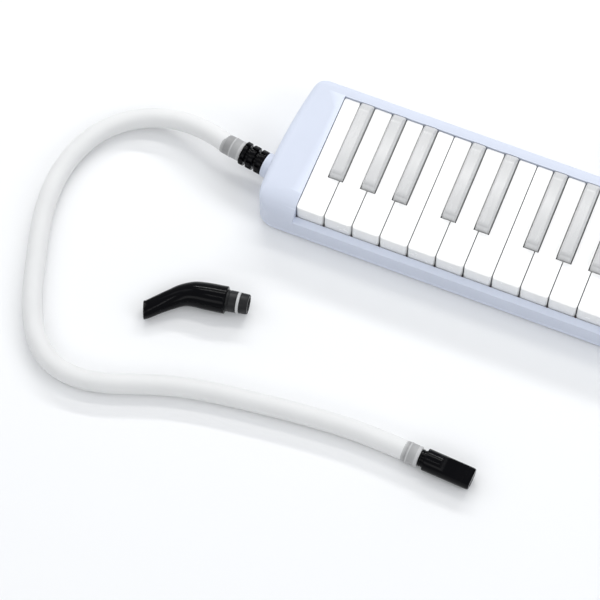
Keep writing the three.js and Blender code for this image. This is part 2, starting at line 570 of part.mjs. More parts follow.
// The beak: a round body with a shallow scoop along its top and a low ridge across its tip.
const BEAK_LENGTH = 32.6;
const BEAK_CENTRE = 0.45; // above the hose's centre, so that it clears the surface
const beakStart = COLLAR_LENGTH + GAP;
const beakSections = [
  [0, 14.2, 13.4], [1, 15, 14.4], [BEAK_LENGTH - 3, 14.9, 14.4], [BEAK_LENGTH - 0.8, 14.5, 14.2],
  [BEAK_LENGTH, 13.2, 13.4],
];
const beakLoft = loft(beakSections.map(([along, width, height]) => (
  { at: [beakStart + along, 0, BEAK_CENTRE], width, height }
)), 24);
const scoop = new THREE.Shape();
scoop.moveTo(10.3, 10);
scoop.lineTo(10.4, 8.1);
scoop.quadraticCurveTo(12.6, 5, 19, 4.8);
scoop.lineTo(27.2, 4.5);
scoop.lineTo(28.4, 5.4);
scoop.lineTo(31.4, 5.1);
scoop.lineTo(BEAK_LENGTH + 1, 4.4);
scoop.lineTo(BEAK_LENGTH + 1, 10);
const scoopCut = new THREE.ExtrudeGeometry(scoop, { depth: 18, bevelEnabled: false, curveSegments: 8 });
scoopCut.rotateX(Math.PI / 2);
scoopCut.translate(beakStart, 9, 0);
const slot = box(beakStart + 18, beakStart + BEAK_LENGTH + 1, -4.6, 4.6, -2.8, -0.6);
const beak = beakLoft.subtract(solid(scoopCut)).subtract(slot)
  .subtract(cylinderX(0, beakStart + 10, 0, 0, 4.9, 12))
  .subtract(cylinderX(beakStart, beakStart + 20, 0, -1.6, 1.9, 10));
place('beak_mouthpiece', atHoseEnd(beak), glossBlack);

// ---------------------------------------------------------------- loose short mouthpiece
// It lies on the table: a flattened mouth end, a bend of about 35 degrees, a round shoulder.
const shortBody = [
  { at: [-254.4, -139.4, 5.6], width: 12.3, height: 10.4, heading: 22 },
  { at: [-253.2, -138.6, 5.6], width: 12.2, height: 9.8, heading: 24 },
  { at: [-247, -132.3, 6.2], width: 12.3, height: 10.4, heading: 36 },
  { at: [-240, -125.6, 6.9], width: 13.3, height: 12.2 },
  { at: [-234.3, -120.8, 7.6], width: 14.8, height: 14 },
  { at: [-227.5, -117.7, 8.3], width: 17, height: 15.9 },
  { at: [-219, -116.1, 8.8], width: 18.2, height: 17.1 },
  { at: [-206.6, -114.2, 9.2], width: 18.5, height: 17.8 },
];
const shortBore = shortBody.map(({ at, width, height }, i) => ({
  at, width: i < 3 ? 8.4 : width - 7.6, height: i < 3 ? 3.4 : height - 7.6,
}));
const shoulder = shortBody[shortBody.length - 1].at;
const beforeShoulder = shortBody[shortBody.length - 2].at;
const plugDirection = new THREE.Vector3(...shoulder).sub(new THREE.Vector3(...beforeShoulder)).normalize();
const plugTurnZ = (Math.atan2(plugDirection.y, plugDirection.x) * 180) / Math.PI;
const plugTilt = (Math.asin(plugDirection.z) * 180) / Math.PI;
// Built along +X from the shoulder, then tilted and turned with the body.
function atShoulder(manifold) {
  return manifold.rotate([0, -plugTilt, 0]).rotate([0, 0, plugTurnZ]).translate(shoulder);
}
const PLUG_IN = 6;
const PLUG_BORE_R = 4;
const RING_X = 7.4;
const RING_WIDTH = 2.2;
const boreEnds = (s) => [
  { ...s[0], at: [s[0].at[0] - 1, s[0].at[1] - 1, s[0].at[2]] }, ...s.slice(1, -1),
  { ...s[s.length - 1], at: new THREE.Vector3(...shoulder).addScaledVector(plugDirection, 2).toArray() },
];
const shortMouthpiece = loft(shortBody, 16).subtract(loft(boreEnds(shortBore), 10))
  .subtract(atShoulder(cylinderX(-PLUG_IN - GAP, 3, 0, 0, 6.4, 16)));
place('short_mouthpiece', shortMouthpiece, glossBlack);
const plug = turnedTube([
  [6.1, -PLUG_IN], [6.1, GAP], [7.2, GAP], [7.1, RING_X - GAP], [5.6, RING_X - GAP],
  [5.6, RING_X + RING_WIDTH + GAP], [6.9, RING_X + RING_WIDTH + GAP], [6.7, 15.2],
], PLUG_BORE_R, 16).rotate([0, 90, 0]);
place('short_mouthpiece_plug', atShoulder(plug), mattBlack);
const ring = turnedTube([
  [7, RING_X], [7.2, RING_X + 0.5], [7.2, RING_X + RING_WIDTH - 0.5], [7, RING_X + RING_WIDTH],
], 5.9, 16).rotate([0, 90, 0]);
place('plug_ring', atShoulder(ring), ringWhite);

export default melodica;
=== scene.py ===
"""Looks of a 32-key melodica: case, keys, blowing hose, beak and loose short mouthpiece.

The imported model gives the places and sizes, in metres. Shapes are drawn here in
millimetres, in the same frame, and to_object() turns them into metres.
"""
import math

import bmesh
import bpy
from mathutils import Matrix, Vector


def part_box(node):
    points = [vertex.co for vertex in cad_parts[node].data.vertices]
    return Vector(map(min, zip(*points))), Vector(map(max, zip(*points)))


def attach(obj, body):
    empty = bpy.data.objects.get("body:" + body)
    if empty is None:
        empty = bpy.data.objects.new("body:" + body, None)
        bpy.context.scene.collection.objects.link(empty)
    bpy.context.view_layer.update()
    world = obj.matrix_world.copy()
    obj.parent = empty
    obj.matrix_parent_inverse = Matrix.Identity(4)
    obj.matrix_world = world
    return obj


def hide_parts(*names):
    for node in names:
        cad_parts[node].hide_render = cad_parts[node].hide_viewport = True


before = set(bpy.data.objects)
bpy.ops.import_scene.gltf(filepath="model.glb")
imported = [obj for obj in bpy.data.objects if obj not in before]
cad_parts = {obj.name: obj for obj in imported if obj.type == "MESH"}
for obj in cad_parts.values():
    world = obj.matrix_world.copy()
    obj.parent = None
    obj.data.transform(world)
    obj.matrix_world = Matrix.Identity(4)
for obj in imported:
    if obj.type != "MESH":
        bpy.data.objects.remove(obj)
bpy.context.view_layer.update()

MM = 0.001
TAU = 2 * math.pi


# ---------------------------------------------------------------- measures from the model
def box_mm(node):
    """Lowest and highest corner of a CAD node, in millimetres."""
    low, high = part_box(node)
    return low / MM, high / MM


WHITE_KEYS = sorted(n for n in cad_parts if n.startswith("white_key_"))
BLACK_KEYS = sorted(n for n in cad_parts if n.startswith("black_key_"))
CASE_LOW, CASE_HIGH = box_mm("upper_case")
FIRST_KEY_LOW, FIRST_KEY_HIGH = box_mm(WHITE_KEYS[0])
LAST_KEY_HIGH = box_mm(WHITE_KEYS[-1])[1]

CASE_TOP = CASE_HIGH.z
SEAM_TOP = CASE_LOW.z
SEAM_BOTTOM = SEAM_TOP - 0.3
CASE_WALL = 2.5
EDGE_ROUND = 5
FRONT_CORNER = 14
BACK_CORNER = 8
BOW_Y = -20  # where the bowed ends stand out furthest
BOW_RADIUS = 370
SHOULDER_START = 18.5  # height where the upright front turns into the shoulder
SHOULDER_BACK = -33  # where the shoulder meets the flat top
SHOULDER_PULL_Y, SHOULDER_PULL_Z = -44, 28  # control places that shape the shoulder's curve
WALL_LEVELS = (10, 14, 18, 21, 24, 27)  # heights of the rings up the case's side
TOP_INSETS = (6, 7, 8, 9.5, 11, 12.5, 14, 15.5, 17, 18.8)  # and of those across its top edge
LOW_ROOM_TOP = 18.5
WELL_HALF = LAST_KEY_HIGH.x + 0.4
WELL_FRONT = FIRST_KEY_LOW.y - 0.5
WELL_BACK = FIRST_KEY_HIGH.y + 0.5
LIP_TOP = 20.6
PIVOT = (16, 22.5)  # the key axle, in Y and Z
PAD_Y = 34

# ---------------------------------------------------------------- camera
TARGET = Vector((-163.35, -92.2, 0)) * MM
DISTANCE = 1.805
AZIMUTH = math.radians(21.96)
ELEVATION = math.radians(65.65)
SENSOR_WIDTH = 36
LENS = 164.7
CLIP_END = 50


def make_camera():
    back = Vector((
        math.sin(AZIMUTH) * math.cos(ELEVATION),
        -math.cos(AZIMUTH) * math.cos(ELEVATION),
        math.sin(ELEVATION),
    ))
    data = bpy.data.cameras.new("camera")
    data.sensor_width = SENSOR_WIDTH
    data.lens = LENS
    data.clip_end = CLIP_END
    camera = bpy.data.objects.new("camera", data)
    camera.location = TARGET + back * DISTANCE
    camera.rotation_mode = "QUATERNION"
    camera.rotation_quaternion = (-back).to_track_quat("-Z", "Y")
    bpy.context.scene.collection.objects.link(camera)
    bpy.context.scene.camera = camera


make_camera()


# ---------------------------------------------------------------- materials
def new_material(name):
    made = bpy.data.materials.new(name)
    made.use_nodes = True
    return made, made.node_tree, made.node_tree.nodes["Principled BSDF"]


def add(tree, kind, **values):
    """A node of that kind, with its inputs or properties set by name."""
    node = tree.nodes.new(kind)
    for key, value in values.items():
        if key in node.inputs:
            node.inputs[key].default_value = value
        else:
            setattr(node, key, value)
    return node


def noise(tree, coordinates, scale, detail=3.0, stretch=None):
    """Noise over the object's own coordinates. The scale is in features per metre."""
    source = coordinates
    if stretch:
        mapping = add(tree, "ShaderNodeMapping")
        mapping.inputs["Scale"].default_value = stretch
        tree.links.new(coordinates, mapping.inputs["Vector"])
        source = mapping.outputs["Vector"]
    texture = add(tree, "ShaderNodeTexNoise", Scale=scale, Detail=detail)
    tree.links.new(source, texture.inputs["Vector"])
    return texture.outputs["Fac"]


def remap(tree, value, low, high, out_low, out_high):
    node = add(tree, "ShaderNodeMapRange")
    for name, number in zip(("From Min", "From Max", "To Min", "To Max"), (low, high, out_low, out_high)):
        node.inputs[name].default_value = number
    tree.links.new(value, node.inputs["Value"])
    return node.outputs["Result"]


def mix(tree, factor, first, second):
    """A mix of two colours by a factor. Each colour is a tuple or an output socket."""
    node = add(tree, "ShaderNodeMix", data_type="RGBA")
    tree.links.new(factor, node.inputs["Factor"])
    for socket, colour in ((node.inputs[6], first), (node.inputs[7], second)):
        if isinstance(colour, tuple):
            socket.default_value = (*colour, 1)
        else:
            tree.links.new(colour, socket)
    return node.outputs[2]


def shade(colour, factor):
    return tuple(c * factor for c in colour)


def moulded(name, colour, roughness, grain=0.02, grain_scale=2600, mottle=0.03, wear=0.0,
            specular=0.5, subsurface=0.0, scuffs=0.08):
    """Moulded plastic: fine grain, slight mottling, scuffed patches and paler worn edges."""
    made, tree, shader = new_material(name)
    coordinates = add(tree, "ShaderNodeTexCoord").outputs["Object"]
    cloud = noise(tree, coordinates, 35, 4)
    tint = mix(tree, remap(tree, cloud, 0.3, 0.7, 0, 1), shade(colour, 1 - mottle), shade(colour, 1 + mottle))
    if wear:
        edge = add(tree, "ShaderNodeNewGeometry").outputs["Pointiness"]
        worn = remap(tree, edge, 0.52, 0.58, 0, wear)
        tint = mix(tree, worn, tint, tuple(min(1.0, c * 1.25 + 0.05) for c in colour))
    tree.links.new(tint, shader.inputs["Base Color"])
    scuff = noise(tree, coordinates, 220, 6, stretch=(1, 0.25, 1))
    tree.links.new(remap(tree, scuff, 0.35, 0.75, roughness - scuffs / 2, roughness + scuffs),
                   shader.inputs["Roughness"])
    bump = add(tree, "ShaderNodeBump", Strength=grain * 10, Distance=0.00004)
    tree.links.new(noise(tree, coordinates, grain_scale, 2), bump.inputs["Height"])
    tree.links.new(bump.outputs["Normal"], shader.inputs["Normal"])
    shader.inputs["Specular IOR Level"].default_value = specular
    if subsurface:
        shader.inputs["Subsurface Weight"].default_value = subsurface
        shader.inputs["Subsurface Radius"].default_value = (0.003, 0.003, 0.003)
        shader.inputs["Subsurface Scale"].default_value = 1
    return made


def metal(name, colour, roughness, brushed):
    """Metal with fine lines drawn along one axis and faint tarnish."""
    made, tree, shader = new_material(name)
    coordinates = add(tree, "ShaderNodeTexCoord").outputs["Object"]
    lines = noise(tree, coordinates, 1500, 3, stretch=brushed)
    stain = noise(tree, coordinates, 60, 5)
    tint = mix(tree, remap(tree, stain, 0.4, 0.8, 0, 1), colour, shade(colour, 0.72))
    tree.links.new(tint, shader.inputs["Base Color"])
    tree.links.new(remap(tree, lines, 0.3, 0.7, roughness * 0.8, roughness * 1.4), shader.inputs["Roughness"])
    bump = add(tree, "ShaderNodeBump", Strength=0.15, Distance=0.00003)
    tree.links.new(lines, bump.inputs["Height"])
    tree.links.new(bump.outputs["Normal"], shader.inputs["Normal"])
    shader.inputs["Metallic"].default_value = 1
    return made


def cloth_felt(name, colour):
    """Pressed felt: tangled fibres, dull, with a soft sheen."""
    made, tree, shader = new_material(name)
    coordinates = add(tree, "ShaderNodeTexCoord").outputs["Object"]
    fibres = noise(tree, coordinates, 2400, 8)
    tint = mix(tree, remap(tree, fibres, 0.3, 0.7, 0, 1), shade(colour, 0.75), colour)
    tree.links.new(tint, shader.inputs["Base Color"])
    bump = add(tree, "ShaderNodeBump", Strength=0.6, Distance=0.0003)
    tree.links.new(fibres, bump.inputs["Height"])
    tree.links.new(bump.outputs["Normal"], shader.inputs["Normal"])
    shader.inputs["Roughness"].default_value = 0.95
    shader.inputs["Sheen Weight"].default_value = 0.4
    return made


CASE_BLUE = moulded("case_blue", (0.6, 0.64, 0.74), 0.5, grain=0.04, mottle=0.012, wear=0.4, specular=0.3)
IVORY = moulded("key_white", (0.86, 0.86, 0.85), 0.22, grain=0.008, mottle=0.008, wear=0.2, subsurface=0.1)
SHARP_GREY = moulded("sharp_grey", (0.56, 0.56, 0.56), 0.24, grain=0.01, mottle=0.015, wear=0.6)
GLOSS_BLACK = moulded("gloss_black", (0.0012, 0.0012, 0.002), 0.14, grain=0.006, mottle=0.1, wear=0.02,
                      specular=0.09, scuffs=0.06)
MATT_BLACK = moulded("matt_black", (0.004, 0.004, 0.005), 0.42, grain=0.12, mottle=0.15, wear=0.05,
                     specular=0.3)
RING_GREY = moulded("ring_grey", (0.5, 0.5, 0.5), 0.5, grain=0.03)
INNER_GREY = moulded("inner_grey", (0.55, 0.57, 0.6), 0.5, grain=0.04)
RUBBER = moulded("rubber", (0.03, 0.03, 0.03), 0.75, grain=0.15, mottle=0.2)
BRASS = metal("reed_brass", (0.72, 0.5, 0.2), 0.3, (0.1, 1, 1))
STEEL = metal("steel", (0.6, 0.61, 0.63), 0.28, (0.1, 1, 1))
FELT = cloth_felt("felt", (0.4, 0.06, 0.04))
PAD_FELT = cloth_felt("pad_felt", (0.75, 0.73, 0.68))
VINYL = moulded("hose_vinyl", (0.73, 0.73, 0.725), 0.55, grain=0.02, grain_scale=900, mottle=0.02,
                specular=0.25, subsurface=0.3)
CUFF_VINYL = moulded("cuff_vinyl", (0.36, 0.36, 0.36), 0.45, grain=0.08, grain_scale=700, mottle=0.18,
                     specular=0.35, subsurface=0.15)
CUFF_PALE = moulded("cuff_pale", (0.47, 0.47, 0.47), 0.45, grain=0.05, grain_scale=700, mottle=0.06)
CUFF_DARK = moulded("cuff_dark", (0.27, 0.27, 0.27), 0.45, grain=0.08, grain_scale=700, mottle=0.3)
CUFF_FADE = moulded("cuff_fade", (0.43, 0.43, 0.43), 0.5, grain=0.05, grain_scale=700, mottle=0.15)


# ---------------------------------------------------------------- mesh helpers
def loft(bm, rings, material=0):
    """Skins closed rings of points, one to the next, and closes both ends."""
    loops = [[bm.verts.new(point) for point in ring] for ring in rings]
    made = []
    for first, second in zip(loops, loops[1:]):
        for i in range(len(first)):
            j = (i + 1) % len(first)
            made.append(bm.faces.new((first[i], first[j], second[j], second[i])))
    made.append(bm.faces.new(list(reversed(loops[0]))))
    made.append(bm.faces.new(loops[-1]))
    for face in made:
        face.material_index = material


def prism(bm, outline, low, high, axis="z", material=0):
    """An outline raised along Z, or drawn along X when it is given in Y and Z."""
    def point(u, v, w):
        return (u, v, w) if axis == "z" else (w, u, v)
    loft(bm, [[point(u, v, w) for u, v in outline] for w in (low, high)], material)


def block(bm, low, high, material=0):
    (x0, y0, z0), (x1, y1, z1) = low, high
    prism(bm, [(x0, y0), (x1, y0), (x1, y1), (x0, y1)], z0, z1, material=material)


def turned(bm, profile, sides=64, place=Matrix.Identity(4), bands=None):
    """A closed tube turned about X. The profile is a closed loop of (radius, x) points.

    bands gives the material of each stretch between two points, where it isn't 0."""
    loops = []
    for radius, x in profile:
        angles = [i * TAU / sides for i in range(sides)]
        loops.append([bm.verts.new(place @ Vector((x, radius * math.cos(a), radius * math.sin(a))))
                      for a in angles])
    for band, (first, second) in enumerate(zip(loops, loops[1:] + loops[:1])):
        for i in range(sides):
            j = (i + 1) % sides
            face = bm.faces.new((first[i], first[j], second[j], second[i]))
            face.material_index = bands.get(band, 0) if bands else 0


def tube_profile(outer, bore):
    """Closes an outer outline of (radius, x) points with a straight bore."""
    return [*outer, (bore, outer[-1][1]), (bore, outer[0][1])]


def curve_point(a, b, c, t):
    """A point of the quadratic curve from a to c with control point b."""
    return tuple((1 - t) ** 2 * p + 2 * t * (1 - t) * q + t * t * r for p, q, r in zip(a, b, c))


def corner(a, b, c, steps):
    return [curve_point(a, b, c, i / steps) for i in range(1, steps + 1)]


def clean(bm):
    bmesh.ops.remove_doubles(bm, verts=bm.verts, dist=1e-4)
    bmesh.ops.dissolve_degenerate(bm, edges=bm.edges, dist=1e-5)
    bmesh.ops.recalc_face_normals(bm, faces=bm.faces)


def to_object(name, bm):
    """A new object in metres from a mesh drawn in millimetres."""
    clean(bm)
    bmesh.ops.scale(bm, vec=(MM, MM, MM), verts=bm.verts)
    mesh = bpy.data.meshes.new(name)
    bm.to_mesh(mesh)
    bm.free()
    made = bpy.data.objects.new(name, mesh)
    bpy.context.scene.collection.objects.link(made)
    return made


def combine(target, cutters, operation="DIFFERENCE"):
    """Applies exact booleans to the target mesh and deletes the cutters."""
    for cutter in cutters:
        step = target.modifiers.new("cut", "BOOLEAN")
        step.operation = operation
        step.solver = "EXACT"
        step.object = cutter
    bpy.context.view_layer.update()
    done = target.evaluated_get(bpy.context.evaluated_depsgraph_get())
    mesh = bpy.data.meshes.new_from_object(done)
    target.modifiers.clear()
    target.data = mesh
    for cutter in cutters:
        bpy.data.objects.remove(cutter)
    return target


def finish_piece(made, body, materials, slot, replaces=(), bevel=None, segments=3, sharp_angle=35):
    """Gives a piece its materials, its rounded edges and its body, and hides the CAD nodes that it stands in
    for.
    """
    if len(made.data.materials) > 0:
        made.data.materials.clear()
    for material in materials:
        made.data.materials.append(material)
    made.data.shade_smooth()
    if bevel:
        rounding = made.modifiers.new("rounded_edges", "BEVEL")
        rounding.width = bevel * MM
        rounding.segments = segments
        rounding.limit_method = "ANGLE"
        rounding.angle_limit = math.radians(sharp_angle)
        rounding.harden_normals = True
    else:
        made.data.set_sharp_from_angle(angle=math.radians(sharp_angle))
    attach(made, body)
    if replaces:
        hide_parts(*replaces)
    return made


def piece(name, bm, body, materials, slot, **options):
    return finish_piece(to_object(name, bm), body, materials, slot, **options)


# ---------------------------------------------------------------- blowing hose
HOSE_R = 6.7
HOSE_ROUTE = [
    (-0.236, -0.0133, 0.017), (-0.2458, -0.0119, 0.017), (-0.256, -0.0092, 0.0171),
    (-0.267, -0.0066, 0.0158), (-0.2792, -0.005, 0.0136), (-0.2925, -0.0054, 0.011),
    (-0.306, -0.0088, 0.0089), (-0.3198, -0.0161, 0.0074), (-0.3318, -0.0278, 0.0068),
    (-0.3402, -0.043, 0.0068), (-0.345, -0.06, 0.0068), (-0.3463, -0.079, 0.0068),
    (-0.344, -0.099, 0.0068), (-0.3393, -0.1176, 0.0068), (-0.3338, -0.1352, 0.0068),
    (-0.328, -0.1528, 0.0068), (-0.3202, -0.17, 0.0068), (-0.3095, -0.1858, 0.0068),
    (-0.2942, -0.1968, 0.0068), (-0.2756, -0.1998, 0.0068), (-0.2573, -0.1968, 0.0068),
    (-0.2387, -0.1902, 0.0068), (-0.2178, -0.183, 0.0068), (-0.1922, -0.1772, 0.0068),
    (-0.1629, -0.173, 0.0068), (-0.128, -0.169, 0.0068), (-0.098, -0.167, 0.0068),
    (-0.072, -0.1673, 0.0068), (-0.0502, -0.1685, 0.0068),
]


def smooth_route(points, steps):
    """Centripetal Catmull-Rom line through the points."""
    route = [Vector(p) for p in points]
    padded = [2 * route[0] - route[1], *route, 2 * route[-1] - route[-2]]
    line = [route[0]]
    for a, b, c, d in zip(padded, padded[1:], padded[2:], padded[3:]):
        ta = 0.0
        tb = ta + (b - a).length ** 0.5
        tc = tb + (c - b).length ** 0.5
        td = tc + (d - c).length ** 0.5
        for i in range(1, steps + 1):
            t = tb + (tc - tb) * i / steps
            ab = a.lerp(b, (t - ta) / (tb - ta))
            bc = b.lerp(c, (t - tb) / (tc - tb))
            cd = c.lerp(d, (t - tc) / (td - tc))
            abc = ab.lerp(bc, (t - ta) / (tc - ta))
            bcd = bc.lerp(cd, (t - tb) / (td - tb))
            line.append(abc.lerp(bcd, (t - tb) / (tc - tb)))
    return line


def make_hose():
    line = smooth_route(HOSE_ROUTE, 8)
    data = bpy.data.curves.new("hose", "CURVE")
    data.dimensions = "3D"
    data.bevel_depth = HOSE_R * MM
    data.bevel_resolution = 10
    data.use_fill_caps = True
    spline = data.splines.new("POLY")
    spline.points.add(len(line) - 1)
    for point, place in zip(spline.points, line):
        point.co = (*place, 1)
    spline.use_smooth = True
    made = bpy.data.objects.new("hose", data)
    bpy.context.scene.collection.objects.link(made)
    data.materials.append(VINYL)
    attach(made, "blowing_hose")
    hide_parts("hose_tube")
    return made


NECK_Z = 17
NECK_R = 8.5
NECK_PIVOT = Vector((-227.5, -14.6, NECK_Z))  # the neck is turned about this place on its axis
NECK_SLANT = math.radians(8.5)  # towards the back
END = Vector(HOSE_ROUTE[-1]) / MM
END_DIRECTION = (END - Vector(HOSE_ROUTE[-2]) / MM).normalized()
AT_NECK = (Matrix.Translation(NECK_PIVOT) @ Matrix.Rotation(-NECK_SLANT, 4, "Z")
           @ Matrix.Translation((-NECK_PIVOT.x, 0, 0)))
AT_VALVE = Matrix.Translation((0, -14.1, NECK_Z))
AT_END = Matrix.Translation(END) @ Matrix.Rotation(
    math.atan2(END_DIRECTION.y, END_DIRECTION.x), 4, "Z")

CONNECTOR_LOW, CONNECTOR_HIGH = -235.8, -219.1
RIB_R = 8.2
RIB_CORE = 5.6
RIB_GAP = 2.2
RIB_WIDTHS = (4.8, 4.3, 3.2)  # from the neck towards the hose
GRIP_NOTCHES = 10
BARB_R = 4.7
AIR_BORE = 2.75


def rounded_edge(radius, x, size, side, steps=4):
    """Quarter circle of (radius, x) points from a rib's top down its side, or up it."""
    points = []
    for i in range(steps + 1):
        angle = i * math.pi / 2 / steps
        points.append((radius - size * (1 - math.cos(angle)), x - side * size * (1 - math.sin(angle))))
    return points


def make_connector():
    """Grip of three notched ribs, a plug for the neck and a barb for the hose."""
    outline = [(5.2, -211.6), (5.7, -212.4), (5.7, CONNECTOR_HIGH)]
    high = CONNECTOR_HIGH
    for number, width in enumerate(RIB_WIDTHS):
        low = high - width
        near = rounded_edge(RIB_R, high, 0.9 if number == 0 else 0.5, 1)
        far = rounded_edge(RIB_R, low, 0.5, -1)
        outline += [(RIB_CORE, high), *reversed(near), *far, (RIB_CORE, low)]
        high = low - RIB_GAP
    outline += [(BARB_R - 0.3, CONNECTOR_LOW - 0.1), (BARB_R - 0.3, -240), (BARB_R, -241.5),
                (BARB_R - 0.6, CONNECTOR_LOW - 15)]
    bm = bmesh.new()
    turned(bm, tube_profile(outline, AIR_BORE), 120, AT_NECK)
    grip = to_object("hose_grip_connector", bm)
    notches = []
    for i in range(GRIP_NOTCHES):
        notch = bmesh.new()
        block(notch, (CONNECTOR_LOW - 0.2, -0.7, RIB_R - 1.3), (CONNECTOR_HIGH - 1.3, 0.7, RIB_R + 2))
        round_grip = Matrix.Rotation((i + 0.5) * TAU / GRIP_NOTCHES, 4, "X")
        bmesh.ops.transform(notch, matrix=AT_NECK @ round_grip, verts=notch.verts)
        notches.append(to_object("notch", notch))
    combine(grip, notches)
    return finish_piece(grip, "blowing_hose", [GLOSS_BLACK], "black_plastic",
                        replaces=["hose_connector"], bevel=0.25, segments=2, sharp_angle=50)


FLOOR_CLEARANCE = 0.03  # the stretched cuffs flatten where they touch the surface


def make_cuff(name, place, length):
    """The hose end where the barb stretches it: a pale lip, a raised ring, a dark band and a paler end."""
    outline = [
        (HOSE_R + 0.05, 0.2), (HOSE_R + 0.2, 0.6), (HOSE_R + 0.2, 1.4), (HOSE_R + 0.16, 2.2),
        (HOSE_R + 0.16, 6.7), (HOSE_R + 0.4, 7.0), (HOSE_R + 0.5, 7.4), (HOSE_R + 0.4, 7.8),
        (HOSE_R + 0.14, 8.2), (HOSE_R + 0.12, length - 2), (HOSE_R + 0.05, length - 1),
        (HOSE_R - 0.02, length),
    ]
    away = [(radius, -x) for radius, x in outline]
    bands = {0: 1, 1: 1, 2: 1, 5: 1, 6: 1, 8: 2, 10: 3}
    bm = bmesh.new()
    turned(bm, tube_profile(away, HOSE_R - 0.2), 64, place, bands)
    for vertex in bm.verts:
        vertex.co.z = max(vertex.co.z, FLOOR_CLEARANCE)
    return piece(name, bm, "blowing_hose", [CUFF_VINYL, CUFF_PALE, CUFF_DARK, CUFF_FADE], "hose_vinyl",
                 sharp_angle=60)


COLLAR_LENGTH = 3.6


def make_end_joint():
    """Barb, round collar and the spigot that the beak is pushed on to."""
    outline = [
        (4, -15), (BARB_R, -9), (BARB_R - 0.3, -8), (BARB_R - 0.3, 0.3), (5.3, 0.3), (5.7, 0.7),
        (5.7, 1.9), (5.35, 2.1), (5.35, 2.5), (5.7, 2.7), (5.7, COLLAR_LENGTH), (4.6, COLLAR_LENGTH + 0.1),
        (4.4, COLLAR_LENGTH + 9),
    ]
    bm = bmesh.new()
    turned(bm, tube_profile(outline, AIR_BORE), 64, AT_END)
    return piece("hose_end_collar", bm, "blowing_hose", [GLOSS_BLACK], "black_plastic",
                 replaces=["hose_end_joint"], sharp_angle=40)


def superellipse(width, height, power, sides):
    """Points of a rounded-box outline, as (across, up)."""
    points = []
    for i in range(sides):
        angle = i * TAU / sides
        c, s = math.cos(angle), math.sin(angle)
        points.append((
            width / 2 * math.copysign(abs(c) ** (2 / power), c),
            height / 2 * math.copysign(abs(s) ** (2 / power), s),
        ))
    return points


BEAK_START = COLLAR_LENGTH + 0.3
BEAK_LENGTH = 32.6
BEAK_CENTRE = 0.45  # above the hose's centre
BEAK_WIDTH, BEAK_HEIGHT = 15, 14.4
BEAK_START_ROUND = 0.8
BEAK_TIP_ROUND = 2
BEAK_BORE = 4.9
BEAK_BORE_DEPTH = 10


def beak_inset(along):
    """How far the beak's skin is drawn in near its two rounded ends."""
    inset = 0.1 * along / BEAK_LENGTH
    if along < BEAK_START_ROUND:
        share = 1 - along / BEAK_START_ROUND
        inset += 0.5 * (1 - math.sqrt(1 - share * share))
    left = BEAK_LENGTH - along
    if left < BEAK_TIP_ROUND:
        share = min(1.0, 1 - left / BEAK_TIP_ROUND)
        inset += 0.8 * (1 - math.sqrt(1 - share * share))
    return inset


def across_prism(outline, half_width):
    """A solid drawn across the beak from (along, up) points, placed at the hose's end."""
    bm = bmesh.new()
    loft(bm, [[AT_END @ Vector((BEAK_START + along, side, up)) for along, up in outline]
              for side in (-half_width, half_width)])
    return to_object("beak_cut", bm)


def make_beak():
    """Beak mouthpiece: a round body with a shallow scoop on top and a low ridge near the lips."""
    sides = 96
    ends = [BEAK_START_ROUND * i / 6 for i in range(7)]
    tip = [BEAK_LENGTH - BEAK_TIP_ROUND * (1 - i / 10) ** 2 for i in range(11)]
    bm = bmesh.new()
    rings = []
    for along in [*ends, 6, 12, 18, 24, *tip]:
        inset = beak_inset(along)
        rings.append([AT_END @ Vector((BEAK_START + along, across, BEAK_CENTRE + up)) for across, up in
                      superellipse(BEAK_WIDTH - 2 * inset, BEAK_HEIGHT - 2 * inset, 2, sides)])
    loft(bm, rings)
    beak = to_object("beak", bm)
    past = BEAK_LENGTH + 1.4
    hollow = corner((10.4, 8.1), (12.6, 5), (19, 4.8), 24)
    ridge = corner((27, 4.5), (27.7, 4.5), (28, 5), 4) + corner((28, 5), (28.3, 5.5), (29, 5.4), 4)
    scoop = [(10.3, 10), (10.4, 8.1), *hollow, (27, 4.5), *ridge, (31.4, 5.1), (past, 4.4), (past, 10)]
    slot = [(18, -2.8), (past, -2.8), (past, -0.6), (18, -0.6)]
    bore = bmesh.new()
    bore_end = BEAK_START + BEAK_BORE_DEPTH
    turned(bore, [(0.01, BEAK_START - 1), (BEAK_BORE, BEAK_START - 1), (BEAK_BORE, bore_end),
                  (0.01, bore_end)], 48, AT_END)
    combine(beak, [across_prism(scoop, 9), across_prism(slot, 4.6), to_object("beak_bore", bore)])
    return finish_piece(beak, "blowing_hose", [GLOSS_BLACK], "black_plastic",
                        replaces=["beak_mouthpiece"], bevel=0.45, segments=3, sharp_angle=26)


hose = make_hose()
hose_pieces = [
    make_connector(), make_end_joint(), make_beak(),
    make_cuff("hose_cuff_near", AT_NECK @ Matrix.Translation((CONNECTOR_LOW - 0.3, 0, 0)), 14.6),
    make_cuff("hose_cuff_far", AT_END, 11),
]


# ---------------------------------------------------------------- case
def case_plan(inset):
    """Outline of the case in plan, drawn in by inset: bowed ends and round corners."""
    front = CASE_LOW.y + inset
    back = CASE_HIGH.y - inset
    front_corner = max(FRONT_CORNER - inset, 0.6)
    back_corner = max(BACK_CORNER - inset, 0.6)

    def end(y):
        return CASE_HIGH.x - inset - (y - BOW_Y) ** 2 / (2 * BOW_RADIUS)
    low, high = front + front_corner, back - back_corner
    side = [(end(low + (high - low) * i / 16), low + (high - low) * i / 16) for i in range(17)]
    half = corner((end(front) - front_corner, front), (end(front), front), side[0], 8)
    half = [(end(front) - front_corner, front), *half[:-1], *side]
    half += corner(side[-1], (end(back), back), (end(back) - back_corner, back), 6)
    return half + [(-x, y) for x, y in reversed(half)]


